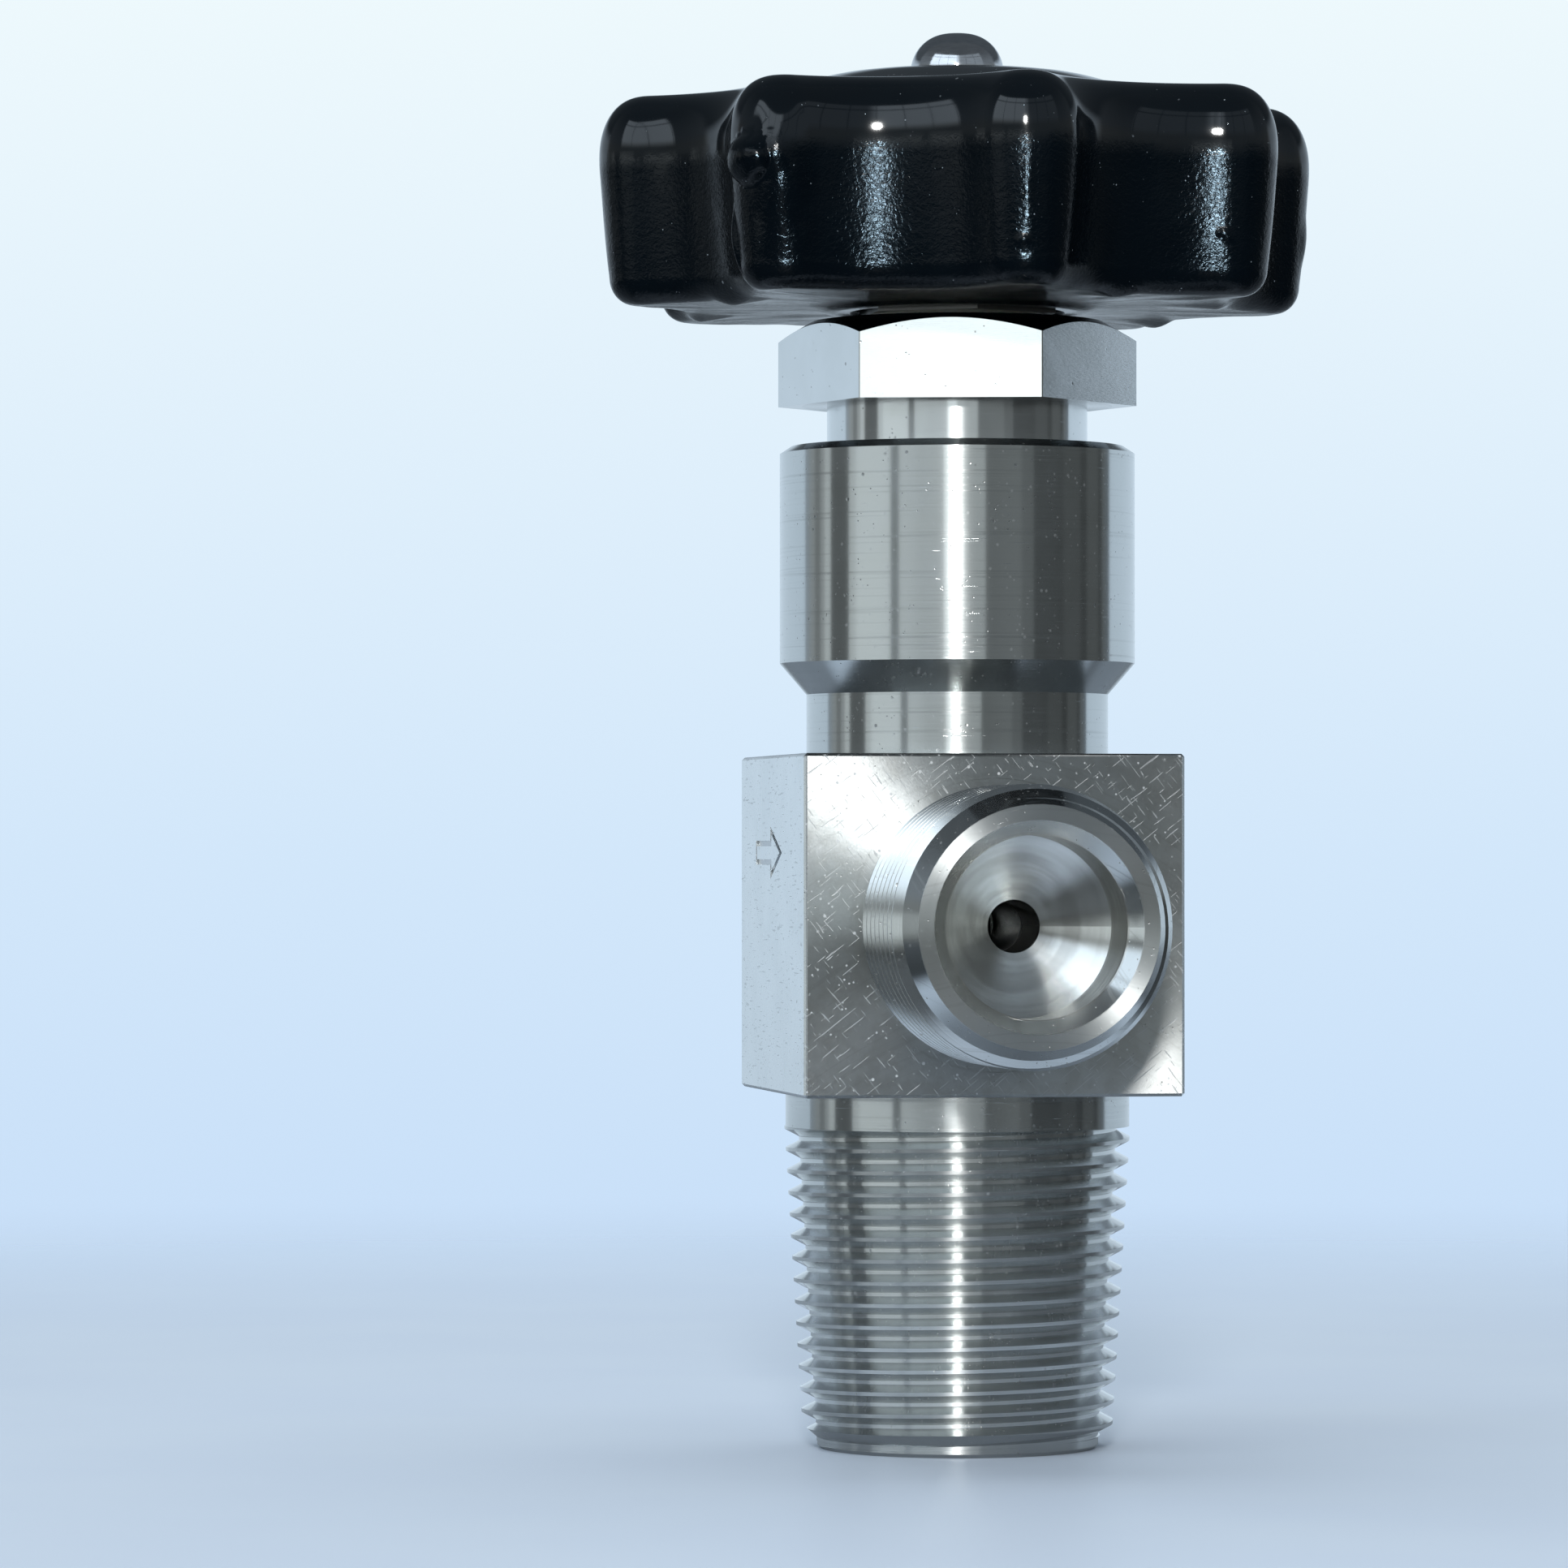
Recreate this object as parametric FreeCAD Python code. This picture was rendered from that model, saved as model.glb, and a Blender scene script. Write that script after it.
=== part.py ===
"""Needle valve for a gas cylinder, in millimetres.

+Z points up along the stem, and the outlet points along -Y. The origin is on the stem axis, at the
bottom face of the taper-threaded inlet. The valve is shown closed.
"""

import FreeCAD
import Part
import math
import os

V = FreeCAD.Vector
UP = V(0, 0, 1)

# ---------------------------------------------------------------------- driving dimensions

# Taper thread of the inlet: 14 threads to the inch, taper 3 in 25, 55 degree flanks.
PITCH = 25.4 / 14
FLANK_TAN = math.tan(math.radians(27.5))
THREAD_DEPTH = 1.162
ROOT_FLAT = 0.30
CUTTER_OVERSHOOT = 0.15
TAPER_SLOPE = 3.0 / 50.0
INLET_R = 12.84
INLET_END_R = 11.45
INLET_PLAIN_R = 11.75
INLET_PLAIN_TOP_Z = 0.90
INLET_CREST_Z = 1.95

# Outside of the body, from the bottom up.
RING_R = 14.35
RING_Z = 26.8
BLOCK_Z = 29.7
BLOCK_TOP_Z = 57.7
BLOCK_HALF_WIDTH = 15.8
BLOCK_FRONT = 16.2
BLOCK_BACK = 15.0
BLOCK_CHAMFER = 0.25
NECK_R = 12.6
NECK_TOP_Z = 62.8
BONNET_R = 14.83
BONNET_Z = 65.4
BONNET_TOP_Z = 83.5
BONNET_CHAMFER_WIDTH = 0.9
BONNET_CHAMFER_HEIGHT = 0.6
GLAND_BORE_CHAMFER = 0.4

# Outlet: parallel thread G5/8, with a coned gas recess in its end.
OUTLET_Z = 43.7
OUTLET_R = 11.40
OUTLET_LENGTH = 17.7
OUTLET_RELIEF_R = 10.2
OUTLET_RELIEF = 1.2
OUTLET_CHAMFER = 2.5
OUTLET_END_R = 9.75
RECESS_R = 7.35
RECESS_DEPTH = 7.3
RECESS_MOUTH_R = 8.5
RECESS_CONE_HALF_ANGLE = 59.5
PASSAGE_R = 2.12
SPOT_FACE_R = 12.0
SPOT_FACE_DEPTH = 0.08

# Flow arrow engraved in the -X side of the block.
ARROW_Y = (-5.4, 0.2, 7.4)
ARROW_HALF_HEIGHT = 2.2
ARROW_SHAFT_HALF = 1.0
ARROW_LINE = 0.45
ARROW_Z = 49.6
ARROW_DEPTH = 0.2

# Inside of the body, from the bottom up.
INLET_BORE_R = 4.5
INLET_BORE_TOP_Z = 31.0
ORIFICE_R = 2.5
ORIFICE_Z = 33.0
SEAT_Z = 35.6
SEAT_TOP_Z = 38.6
CHAMBER_R = 5.03
GUIDE_TOP_Z = 51.6
PLUG_BORE_R = 8.0
POCKET_R = 9.0
POCKET_Z = 64.8
GLAND_BORE_R = 10.95
GLAND_BORE_Z = 70.0

# Running clearance on a radius, and the gap left at the closed seat.
CLEARANCE = 0.05
SEAT_GAP = 0.02

# Seat ring and needle.
SEAT_OUTER_R = CHAMBER_R - CLEARANCE
SEAT_HOLE_R = 2.0
SEAT_MOUTH_R = 2.6
NEEDLE_HALF_ANGLE = 20.0
NEEDLE_SHANK_R = 2.8
NEEDLE_TIP_R = 0.5
NEEDLE_SHANK_TOP_Z = 45.9
PLUG_GUIDE_R = CHAMBER_R - CLEARANCE
PLUG_R = PLUG_BORE_R - CLEARANCE
PLUG_Z = GUIDE_TOP_Z + 0.1
PLUG_TOP_Z = 61.3
PLUG_GROOVE_R = 3.6
PLUG_GROOVE_Z = (46.5, 49.2)
DRIVE_WIDTH = 7.0
DRIVE_SOCKET_WIDTH = 7.1
DRIVE_CORNER_R = 4.5
DRIVE_SOCKET_Z = 53.2
DRIVE_TIP_Z = 56.9

# Stem and its gland.
STEM_R = 5.5
STEM_BORE_R = STEM_R + CLEARANCE
FLANGE_R = 8.8
FLANGE_Z = 66.0
FLANGE_TOP_Z = 70.0
STEM_GROOVE_R = 4.05
STEM_GROOVES_Z = ((75.2, 78.0), (80.4, 83.2))
GLAND_END_Z = 71.2
GLAND_R = 10.88
HEX_Z = 86.9
HEX_TOP_Z = 93.9
HEX_WIDTH = 26.0
HEX_TURN = 16.6
HEX_EDGE_FILLET = 0.15
SQUARE_WIDTH = 8.0
SQUARE_CORNER_R = 5.3
SQUARE_Z = 94.0
SQUARE_TOP_Z = 100.3
STUD_R = 2.4
STUD_TOP_Z = 114.5

# Backup ring beside each O-ring.
BACKUP_THICKNESS = 1.1

# Handwheel: eight lobes with hollows between them, a dipped coating over a cast core.
LOBES = 8
WHEEL_TURN = 1.2
LOBE_R = 5.0
LOBE_CENTRE_R = 25.7
HOLLOW_R = 10.8
WHEEL_Z = 95.0
WHEEL_TOP_Z = 112.35
WHEEL_DRAFT = 1.3
WHEEL_TOP_FILLET = 4.5
WHEEL_BOTTOM_FILLET = 2.8
CROWN_TOP_Z = 114.5
CROWN_FLAT_R = 9.0
CROWN_R = 19.0
HUB_PAD_R = 11.0
HUB_PAD_Z = 94.7
COATING = 1.0
WELL_R = 6.5
WELL_Z = 100.5
BUSH_WIDTH = 15.0
BUSH_Z = 94.5
BUSH_SQUARE_WIDTH = 8.0

# Stack on top of the hub.
SLIP_WASHER_R = 7.5
SEAT_WASHER_TOP_Z = 101.3
SEAT_WASHER_R = 6.0
SPRING_R = 4.4
SPRING_WIRE_R = 0.6
SPRING_TURNS = 3.25
NUT_WASHER_Z = 106.9
NUT_WASHER_R = 5.0
CAP_NUT_Z = 107.9
CAP_NUT_HEX_HEIGHT = 4.0
CAP_NUT_WIDTH = 8.0
CAP_NUT_CAP_R = 3.88
CAP_NUT_TOP_ROUND = 3.2
CAP_NUT_TOP_Z = 118.1
CAP_NUT_BORE_TOP_Z = 115.4


# ---------------------------------------------------------------------- small helpers

def rod(radius, low, high):
    return Part.makeCylinder(radius, high - low, V(0, 0, low), UP)


def ring(outer, inner, low, high):
    return rod(outer, low, high).cut(rod(inner, low, high))


def spun(points):
    """Solid of revolution about Z from a closed outline of (radius, height) points."""
    corners = [V(radius, 0, height) for radius, height in points]
    face = Part.Face(Part.makePolygon(corners + corners[:1]))
    return face.revolve(V(0, 0, 0), UP, 360)


def prism(corners, low, high):
    """Upright prism from a closed outline of (x, y) points."""
    outline = [V(x, y, low) for x, y in corners]
    return Part.Face(Part.makePolygon(outline + outline[:1])).extrude(V(0, 0, high - low))


def polygon_bar(sides, width, low, high, turn=0.0):
    """Bar with a regular section, given across its flats. The first flat faces `turn` degrees."""
    radius = width / 2 / math.cos(math.pi / sides)
    corners = []
    for k in range(sides):
        angle = math.radians(turn) + math.pi * (2 * k + 1) / sides
        corners.append((radius * math.cos(angle), radius * math.sin(angle)))
    return prism(corners, low, high)


def to_outlet(shape):
    """Swings a shape made upright on Z so that its +Z end points along the outlet, -Y."""
    shape.rotate(V(0, 0, 0), V(1, 0, 0), 90)
    shape.translate(V(0, 0, OUTLET_Z))
    return shape


def thread_groove(crest_radius, low, high, half_angle=0.0):
    """Right-hand helical groove from `low` to `high`, for a crest radius measured at `low`."""
    helix = Part.makeLongHelix(PITCH, high - low, crest_radius, half_angle)
    helix.translate(V(0, 0, low))
    root_radius = crest_radius - THREAD_DEPTH
    rim_radius = crest_radius + CUTTER_OVERSHOOT
    root_half = ROOT_FLAT / 2
    rim_half = root_half + (THREAD_DEPTH + CUTTER_OVERSHOOT) * FLANK_TAN
    corners = [
        V(root_radius, 0, low - root_half),
        V(rim_radius, 0, low - rim_half),
        V(rim_radius, 0, low + rim_half),
        V(root_radius, 0, low + root_half),
    ]
    section = Part.makePolygon(corners + corners[:1])
    return Part.Wire(helix.Edges).makePipeShell([section], True, True)


# ---------------------------------------------------------------------- body

def inlet_blank():
    """Taper-threaded inlet, from its chamfered end up to the ring."""
    top_radius = INLET_R + TAPER_SLOPE * RING_Z
    crest_radius = INLET_R + TAPER_SLOPE * INLET_CREST_Z
    blank = spun([
        (0, 0),
        (INLET_END_R, 0),
        (INLET_PLAIN_R, INLET_PLAIN_R - INLET_END_R),
        (INLET_PLAIN_R, INLET_PLAIN_TOP_Z),
        (crest_radius, INLET_CREST_Z),
        (top_radius, RING_Z),
        (0, RING_Z),
    ])
    start = -0.5
    half_angle = math.degrees(math.atan(TAPER_SLOPE))
    groove = thread_groove(INLET_R + TAPER_SLOPE * start, start, RING_Z + PITCH, half_angle)
    return blank.cut(groove)


def outlet_blank():
    """Threaded outlet, built upright with its root inside the block and its end at the top."""
    end = BLOCK_FRONT + OUTLET_LENGTH
    thread_end = end - OUTLET_CHAMFER
    relief_end = BLOCK_FRONT + OUTLET_RELIEF
    blank = spun([
        (0, 0),
        (OUTLET_RELIEF_R, 0),
        (OUTLET_RELIEF_R, relief_end - 0.6),
        (OUTLET_R, relief_end + 0.6),
        (OUTLET_R, thread_end),
        (OUTLET_END_R, end),
        (0, end),
    ])
    groove = thread_groove(OUTLET_R, relief_end - PITCH / 2, end)
    return to_outlet(blank.cut(groove))


def block():
    depth = BLOCK_FRONT + BLOCK_BACK
    corner = V(-BLOCK_HALF_WIDTH, -BLOCK_FRONT, BLOCK_Z)
    bar = Part.makeBox(2 * BLOCK_HALF_WIDTH, depth, BLOCK_TOP_Z - BLOCK_Z, corner)
    bar = bar.makeChamfer(BLOCK_CHAMFER, bar.Edges)
    spot_face = ring(SPOT_FACE_R, OUTLET_RELIEF_R, BLOCK_FRONT - SPOT_FACE_DEPTH, BLOCK_FRONT + 1)
    return bar.cut(to_outlet(spot_face))


def bonnet():
    """Neck and cylindrical bonnet that are one piece with the block."""
    return spun([
        (0, BLOCK_TOP_Z - 1),
        (NECK_R, BLOCK_TOP_Z - 1),
        (NECK_R, NECK_TOP_Z),
        (BONNET_R, BONNET_Z),
        (BONNET_R, BONNET_TOP_Z - BONNET_CHAMFER_HEIGHT),
        (BONNET_R - BONNET_CHAMFER_WIDTH, BONNET_TOP_Z),
        (0, BONNET_TOP_Z),
    ])


def outlet_recess():
    """Recess, its cone and the gas passage, cut in from the outlet's end to the valve chamber."""
    end = BLOCK_FRONT + OUTLET_LENGTH
    floor = end - RECESS_DEPTH
    mouth = RECESS_MOUTH_R - RECESS_R
    cone = (RECESS_R - PASSAGE_R) / math.tan(math.radians(RECESS_CONE_HALF_ANGLE))
    return to_outlet(spun([
        (0, CHAMBER_R / 2),
        (PASSAGE_R, CHAMBER_R / 2),
        (PASSAGE_R, floor - cone),
        (RECESS_R, floor),
        (RECESS_R, end - mouth),
        (RECESS_MOUTH_R, end),
        (RECESS_MOUTH_R, end + 1),
        (0, end + 1),
    ]))


def body_bores():
    """Everything bored along the stem axis, from the inlet to the gland."""
    return spun([
        (0, -1),
        (INLET_BORE_R, -1),
        (INLET_BORE_R, INLET_BORE_TOP_Z),
        (ORIFICE_R, ORIFICE_Z),
        (ORIFICE_R, SEAT_Z),
        (CHAMBER_R, SEAT_Z),
        (CHAMBER_R, GUIDE_TOP_Z),
        (PLUG_BORE_R, GUIDE_TOP_Z),
        (PLUG_BORE_R, POCKET_Z),
        (POCKET_R, POCKET_Z),
        (POCKET_R, GLAND_BORE_Z),
        (GLAND_BORE_R, GLAND_BORE_Z),
        (GLAND_BORE_R, BONNET_TOP_Z - GLAND_BORE_CHAMFER),
        (GLAND_BORE_R + GLAND_BORE_CHAMFER, BONNET_TOP_Z),
        (GLAND_BORE_R + GLAND_BORE_CHAMFER, BONNET_TOP_Z + 1),
        (0, BONNET_TOP_Z + 1),
    ])


def arrow_outline(inset):
    """Corners of the flow arrow as (y, z), drawn `inset` inside its outer edge."""
    tip, neck, tail = ARROW_Y
    slope = ARROW_HALF_HEIGHT / (neck - tip)
    point = tip + inset * math.sqrt(1 + slope ** 2) / slope
    shoulder = neck - inset
    half = (shoulder - point) * slope
    shaft = ARROW_SHAFT_HALF - inset
    upper = [(point, 0), (shoulder, half), (shoulder, shaft), (tail - inset, shaft)]
    lower = [(y, -z) for y, z in reversed(upper[1:])]
    return upper + lower


def flow_arrow():
    """Shallow groove along the outline of an arrow that points towards the outlet."""
    shapes = []
    for inset in (0.0, ARROW_LINE):
        corners = [V(-BLOCK_HALF_WIDTH - 1, y, ARROW_Z + z) for y, z in arrow_outline(inset)]
        face = Part.Face(Part.makePolygon(corners + corners[:1]))
        shapes.append(face.extrude(V(1 + ARROW_DEPTH, 0, 0)))
    return shapes[0].cut(shapes[1])


def valve_body():
    collar = rod(RING_R, RING_Z, BLOCK_Z + 1)
    body = inlet_blank().fuse([collar, block(), bonnet(), outlet_blank()])
    body = body.cut([body_bores(), outlet_recess(), flow_arrow()])
    return body.removeSplitter()


# ---------------------------------------------------------------------- seat and needle

def seat_ring():
    mouth_depth = (SEAT_MOUTH_R - SEAT_HOLE_R) / math.tan(math.radians(NEEDLE_HALF_ANGLE))
    return spun([
        (SEAT_HOLE_R, SEAT_Z),
        (SEAT_OUTER_R, SEAT_Z),
        (SEAT_OUTER_R, SEAT_TOP_Z),
        (SEAT_MOUTH_R, SEAT_TOP_Z),
        (SEAT_HOLE_R, SEAT_TOP_Z - mouth_depth),
    ])


def needle_plug():
    """Threaded plug with a sealed guide and a conical needle at its lower end."""
    slope = math.tan(math.radians(NEEDLE_HALF_ANGLE))
    radius_at_seat = SEAT_MOUTH_R - SEAT_GAP
    shoulder_z = SEAT_TOP_Z + (NEEDLE_SHANK_R - radius_at_seat) / slope
    tip_z = SEAT_TOP_Z - (radius_at_seat - NEEDLE_TIP_R) / slope
    groove_low, groove_high = PLUG_GROOVE_Z
    plug = spun([
        (0, tip_z),
        (NEEDLE_TIP_R, tip_z),
        (NEEDLE_SHANK_R, shoulder_z),
        (NEEDLE_SHANK_R, NEEDLE_SHANK_TOP_Z),
        (PLUG_GUIDE_R, NEEDLE_SHANK_TOP_Z),
        (PLUG_GUIDE_R, groove_low),
        (PLUG_GROOVE_R, groove_low),
        (PLUG_GROOVE_R, groove_high),
        (PLUG_GUIDE_R, groove_high),
        (PLUG_GUIDE_R, PLUG_Z),
        (PLUG_R, PLUG_Z),
        (PLUG_R, PLUG_TOP_Z),
        (0, PLUG_TOP_Z),
    ])
    return plug.cut(polygon_bar(4, DRIVE_SOCKET_WIDTH, DRIVE_SOCKET_Z, PLUG_TOP_Z + 1))


def sealed_groove_ring(groove_radius, wall_radius, groove_low):
    """O-ring squeezed between a groove and the wall that it seals."""
    cord = (wall_radius - groove_radius) / 2 - SEAT_GAP
    centre = V(0, 0, groove_low + cord + SEAT_GAP)
    return Part.makeTorus(groove_radius + SEAT_GAP + cord, cord, centre, UP)


def backup_ring(groove_radius, wall_radius, groove_high):
    return ring(wall_radius - SEAT_GAP, groove_radius, groove_high - BACKUP_THICKNESS, groove_high)


# ---------------------------------------------------------------------- stem and gland

def stem():
    turned = [(0, SQUARE_Z), (0, FLANGE_Z), (FLANGE_R, FLANGE_Z)]
    turned += [(FLANGE_R, FLANGE_TOP_Z), (STEM_R, FLANGE_TOP_Z)]
    for low, high in STEM_GROOVES_Z:
        turned += [(STEM_R, low), (STEM_GROOVE_R, low), (STEM_GROOVE_R, high), (STEM_R, high)]
    turned += [(STEM_R, SQUARE_Z)]
    tang = polygon_bar(4, DRIVE_WIDTH, DRIVE_TIP_Z, FLANGE_Z)
    tang = tang.common(rod(DRIVE_CORNER_R, DRIVE_TIP_Z, FLANGE_Z))
    square = polygon_bar(4, SQUARE_WIDTH, SQUARE_Z, SQUARE_TOP_Z)
    square = square.common(rod(SQUARE_CORNER_R, SQUARE_Z, SQUARE_TOP_Z))
    stud = rod(STUD_R, SQUARE_TOP_Z, STUD_TOP_Z)
    stud = stud.makeChamfer(0.6, [edge for edge in stud.Edges if edge.BoundBox.ZMin > STUD_TOP_Z - 0.1])
    return spun(turned).fuse([tang, square, stud]).removeSplitter()


def gland_nut():
    """Hexagon nut whose plain-modelled male shank screws into the bonnet and holds the stem down."""
    corner_r = HEX_WIDTH / 2 / math.cos(math.pi / 6)
    chamfer_r = 0.94 * HEX_WIDTH / 2
    crown_drop = (corner_r - chamfer_r) * math.tan(math.radians(30))
    crown = spun([
        (0, HEX_Z),
        (corner_r + 1, HEX_Z),
        (corner_r + 1, HEX_TOP_Z - crown_drop - math.tan(math.radians(30))),
        (chamfer_r, HEX_TOP_Z),
        (0, HEX_TOP_Z),
    ])
    head = polygon_bar(6, HEX_WIDTH, HEX_Z, HEX_TOP_Z, HEX_TURN)
    upright = [edge for edge in head.Edges if edge.BoundBox.ZLength > 1]
    head = head.makeFillet(HEX_EDGE_FILLET, upright).common(crown)
    shank = spun([
        (0, GLAND_END_Z),
        (GLAND_R - 0.8, GLAND_END_Z),
        (GLAND_R, GLAND_END_Z + 0.8),
        (GLAND_R, HEX_Z),
        (0, HEX_Z),
    ])
    return head.fuse(shank).cut(rod(STEM_BORE_R, GLAND_END_Z - 1, HEX_TOP_Z + 1)).removeSplitter()


# ---------------------------------------------------------------------- handwheel

def on_circle(radius, angle):
    return V(radius * math.cos(angle), radius * math.sin(angle), 0)


def wheel_outline(inset, height):
    """Closed outline of tangent arcs: a lobe, then a hollow, eight times over.

    `inset` draws the same outline that far inside itself. The first lobe is `WHEEL_TURN` degrees
    round from the outlet.
    """
    lobe_radius = LOBE_R - inset
    hollow_radius = HOLLOW_R + inset
    reach = lobe_radius + hollow_radius
    half_step = math.pi / LOBES
    side = LOBE_CENTRE_R * math.sin(half_step)
    hollow_centre_r = LOBE_CENTRE_R * math.cos(half_step) + math.sqrt(reach ** 2 - side ** 2)
    edges = []
    for k in range(LOBES):
        lobe_angle = 2 * half_step * k + math.radians(WHEEL_TURN - 90)
        lobe_centre = on_circle(LOBE_CENTRE_R, lobe_angle)
        before = on_circle(hollow_centre_r, lobe_angle - half_step)
        after = on_circle(hollow_centre_r, lobe_angle + half_step)
        next_lobe = on_circle(LOBE_CENTRE_R, lobe_angle + 2 * half_step)
        start = lobe_centre + (before - lobe_centre) * (lobe_radius / reach)
        end = lobe_centre + (after - lobe_centre) * (lobe_radius / reach)
        next_start = next_lobe + (after - next_lobe) * (lobe_radius / reach)
        crest = on_circle(LOBE_CENTRE_R + lobe_radius, lobe_angle)
        valley = on_circle(hollow_centre_r - hollow_radius, lobe_angle + half_step)
        edges.append(Part.Arc(start, crest, end).toShape())
        edges.append(Part.Arc(end, valley, next_start).toShape())
    wire = Part.Wire(edges)
    wire.translate(V(0, 0, height))
    return wire


def wheel_solid(inset):
    """Drafted, rounded wheel with its crowned hub and hub pad, drawn `inset` inside its surface."""
    low = WHEEL_Z + inset
    high = WHEEL_TOP_Z - inset
    wheel = Part.makeLoft([wheel_outline(inset + WHEEL_DRAFT, low), wheel_outline(inset, high)], True, True)
    top_edges = [edge for edge in wheel.Edges if edge.BoundBox.ZMin > high - 0.01]
    wheel = wheel.makeFillet(WHEEL_TOP_FILLET - inset, top_edges)
    bottom_edges = [edge for edge in wheel.Edges if edge.BoundBox.ZMax < low + 0.01]
    wheel = wheel.makeFillet(WHEEL_BOTTOM_FILLET - inset, bottom_edges)
    crown = spun([
        (0, low + 1),
        (CROWN_R - inset, low + 1),
        (CROWN_R - inset, high),
        (CROWN_FLAT_R, CROWN_TOP_Z - inset),
        (0, CROWN_TOP_Z - inset),
    ])
    pad = rod(HUB_PAD_R - inset, HUB_PAD_Z + inset, low + 1)
    return wheel.fuse([crown, pad]).removeSplitter()


def hub_opening():
    """Well for the nut above the bush, and the hexagonal hole that holds the bush."""
    well = rod(WELL_R, WELL_Z, CROWN_TOP_Z + 1)
    return well.fuse(polygon_bar(6, BUSH_WIDTH, BUSH_Z - 1, WELL_Z))


def wheel_hub_bush():
    bush = polygon_bar(6, BUSH_WIDTH, BUSH_Z, WELL_Z)
    return bush.cut(polygon_bar(4, BUSH_SQUARE_WIDTH + 2 * SEAT_GAP, BUSH_Z, WELL_Z))


def hub_spring():
    """Short compression spring that pulls the stem's flange up against its packing."""
    low = SEAT_WASHER_TOP_Z + SPRING_WIRE_R
    high = NUT_WASHER_Z - SPRING_WIRE_R
    helix = Part.makeHelix((high - low) / SPRING_TURNS, high - low, SPRING_R)
    helix.translate(V(0, 0, low))
    wire_section = Part.Wire([Part.makeCircle(SPRING_WIRE_R, V(SPRING_R, 0, low), V(0, 1, 0))])
    return Part.Wire(helix.Edges).makePipeShell([wire_section], True, True)


def cap_nut():
    """Domed cap nut: a hexagon with a round-topped cap over a blind hole."""
    hex_top = CAP_NUT_Z + CAP_NUT_HEX_HEIGHT
    cap = rod(CAP_NUT_CAP_R, CAP_NUT_Z, CAP_NUT_TOP_Z)
    top_rim = [edge for edge in cap.Edges if edge.BoundBox.ZMin > CAP_NUT_TOP_Z - 0.01]
    cap = cap.makeFillet(CAP_NUT_TOP_ROUND, top_rim)
    hexagon = polygon_bar(6, CAP_NUT_WIDTH, CAP_NUT_Z, hex_top)
    nut = cap.fuse(hexagon)
    return nut.cut(rod(STUD_R + CLEARANCE, CAP_NUT_Z - 1, CAP_NUT_BORE_TOP_Z)).removeSplitter()


# ---------------------------------------------------------------------- assembly

def build():
    wheel = wheel_solid(0.0).cut(hub_opening())
    core = wheel_solid(COATING).cut(hub_opening())
    plug_groove_low, plug_groove_high = PLUG_GROOVE_Z
    stem_o_rings = [sealed_groove_ring(STEM_GROOVE_R, STEM_BORE_R, low) for low, high in STEM_GROOVES_Z]
    stem_backups = [backup_ring(STEM_GROOVE_R, STEM_BORE_R, high) for low, high in STEM_GROOVES_Z]
    return {
        "valve_body": valve_body(),
        "seat_ring": seat_ring(),
        "needle_plug": needle_plug(),
        "needle_o_ring": sealed_groove_ring(PLUG_GROOVE_R, CHAMBER_R, plug_groove_low),
        "needle_backup_ring": backup_ring(PLUG_GROOVE_R, CHAMBER_R, plug_groove_high),
        "stem": stem(),
        "stem_thrust_washer": ring(FLANGE_R, DRIVE_CORNER_R + 0.2, POCKET_Z, FLANGE_Z),
        "stem_packing_washer": ring(FLANGE_R, STEM_BORE_R + 0.1, FLANGE_TOP_Z, GLAND_END_Z),
        "stem_o_rings": Part.makeCompound(stem_o_rings),
        "stem_backup_rings": Part.makeCompound(stem_backups),
        "gland_seal_ring": ring(GLAND_BORE_R - CLEARANCE, POCKET_R, GLAND_BORE_Z, GLAND_END_Z),
        "gland_nut": gland_nut(),
        "wheel_slip_washer": ring(SLIP_WASHER_R, STEM_BORE_R, HEX_TOP_Z, BUSH_Z),
        "wheel_hub_bush": wheel_hub_bush(),
        "handwheel_core": core,
        "handwheel_coating": wheel.cut(core),
        "spring_seat_washer": ring(SEAT_WASHER_R, STUD_R + 0.2, WELL_Z, SEAT_WASHER_TOP_Z),
        "hub_spring": hub_spring(),
        "nut_washer": ring(NUT_WASHER_R, STUD_R + 0.2, NUT_WASHER_Z, CAP_NUT_Z),
        "cap_nut": cap_nut(),
    }


os.makedirs("parts", exist_ok=True)
for name, shape in build().items():
    shape.exportStep("parts/" + name + ".step")
    print(name, "solids", len(shape.Solids), "valid", shape.isValid(), "volume", round(shape.Volume, 1))
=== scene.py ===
import bpy
import math
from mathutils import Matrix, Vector, noise


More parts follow.
